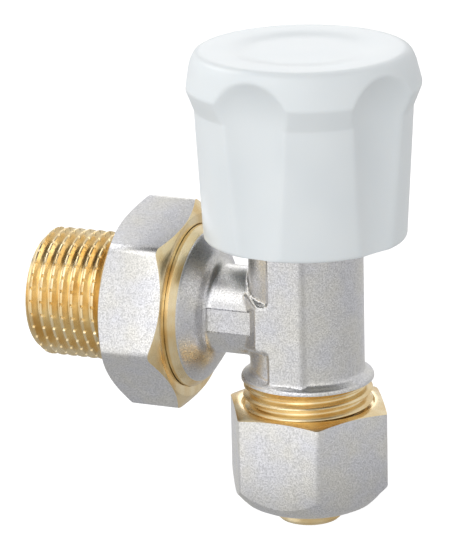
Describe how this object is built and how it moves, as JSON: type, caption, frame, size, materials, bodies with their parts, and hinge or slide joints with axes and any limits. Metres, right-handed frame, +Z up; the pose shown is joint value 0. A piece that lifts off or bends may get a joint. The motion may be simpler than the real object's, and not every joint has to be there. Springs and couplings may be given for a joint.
{
  "type": "angle lockshield radiator valve",
  "caption": "Angle radiator lockshield valve with a fluted pull-off cap, a side union for the radiator and a compression joint for the pipe below.",
  "frame": {"origin": "on the spindle axis at the lower end of the pipe insert, where the pipe enters", "axes": "+Z up the spindle towards the cap, -X out along the branch towards the radiator, -Y out of the flat cast pad"},
  "size_m": [0.0642, 0.037, 0.078],
  "materials": {
    "plated_brass": "nickel plated over a grit-blasted forging, with raw brass where it is machined after plating",
    "raw_brass": "bright turned brass",
    "white_abs": "moulded white ABS, semi-gloss",
    "nylon": "natural nylon",
    "ptfe": "white PTFE",
    "epdm": "black EPDM rubber",
    "spring_steel": "stainless spring wire"
  },
  "bodies": {
    "valve": {"valve_body": "plated_brass", "bonnet": "raw_brass", "bonnet_gasket": "epdm"},
    "shutter": {"shutter": "raw_brass", "shutter_seal": "epdm", "shutter_screw": "raw_brass", "spindle_clip": "spring_steel"},
    "spindle": {"spindle": "raw_brass", "spindle_o_ring_lower": "epdm", "spindle_o_ring_upper": "epdm"},
    "tail": {"union_tail": "raw_brass", "tail_o_ring": "epdm"},
    "union_nut": {"union_nut": "plated_brass"},
    "insert": {"pipe_insert": "raw_brass", "insert_o_ring_upper": "epdm", "insert_o_ring_lower": "epdm", "spigot_o_ring": "epdm", "insulating_washer": "ptfe", "split_ring": "raw_brass"},
    "compression_nut": {"compression_nut": "plated_brass"},
    "cap_bush": {"cap_bush": "nylon", "cap_grip_ring": "epdm"},
    "cap": {"cap_shell": "white_abs"}
  },
  "joints": [
    {"name": "shutter_lift", "type": "slide", "parent": "valve", "child": "shutter", "axis": [0, 0, 1], "range_m": [0, 0.0045]},
    {"name": "spindle_turn", "type": "hinge", "parent": "shutter", "child": "spindle", "pos_m": [0, 0, 0.06], "axis": [0, 0, 1], "range_deg": [0, 1080]},
    {"name": "tail_draw", "type": "slide", "parent": "valve", "child": "tail", "axis": [-1, 0, 0], "range_m": [0, 0.00726]},
    {"name": "union_nut_turn", "type": "hinge", "parent": "tail", "child": "union_nut", "pos_m": [-0.025, 0, 0.0339], "axis": [-1, 0, 0], "range_deg": [0, 1440]},
    {"name": "insert_draw", "type": "slide", "parent": "valve", "child": "insert", "axis": [0, 0, -1], "range_m": [0, 0.00816]},
    {"name": "compression_nut_turn", "type": "hinge", "parent": "insert", "child": "compression_nut", "pos_m": [0, 0, 0.011], "axis": [0, 0, -1], "range_deg": [0, 1620]},
    {"name": "cap_pull", "type": "slide", "parent": "valve", "child": "cap_bush", "axis": [0, 0, 1], "range_m": [0, 0.03]},
    {"name": "cap_spin", "type": "hinge", "parent": "cap_bush", "child": "cap", "pos_m": [0, 0, 0.06], "axis": [0, 0, 1], "continuous": true}
  ],
  "couplings": [
    {"joint": "spindle_turn", "follows": "shutter_lift", "rad_per_m": 4188.8},
    {"joint": "union_nut_turn", "follows": "tail_draw", "rad_per_m": 3463.7},
    {"joint": "compression_nut_turn", "follows": "insert_draw", "rad_per_m": 3463.7}
  ]
}
